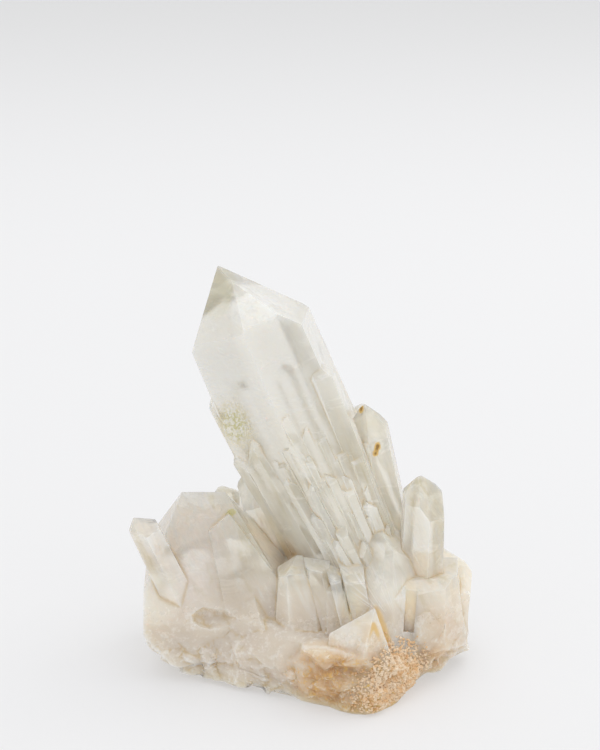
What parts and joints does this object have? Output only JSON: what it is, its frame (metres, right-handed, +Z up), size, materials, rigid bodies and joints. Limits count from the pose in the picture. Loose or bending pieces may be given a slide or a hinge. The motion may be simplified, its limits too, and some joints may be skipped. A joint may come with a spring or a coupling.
{
  "type": "quartz crystal cluster",
  "caption": "Natural quartz crystal cluster: a large leaning six-sided point sheathed by slender parallel blades, with smaller points, on a rough stained bed with a flat underside.",
  "frame": {"origin": "centre of the bounding box at the flat underside, where the cluster stands", "axes": "+Z up, +Y away from the front, +X to the right of the front; the large point leans towards -X"},
  "size_m": [0.084, 0.0618, 0.0979],
  "materials": {
    "quartz": "clear to milky, glossy crystal faces, rust-brown stain on the rough bed"
  },
  "bodies": {
    "root": {"quartz_cluster": "quartz"}
  },
  "joints": []
}
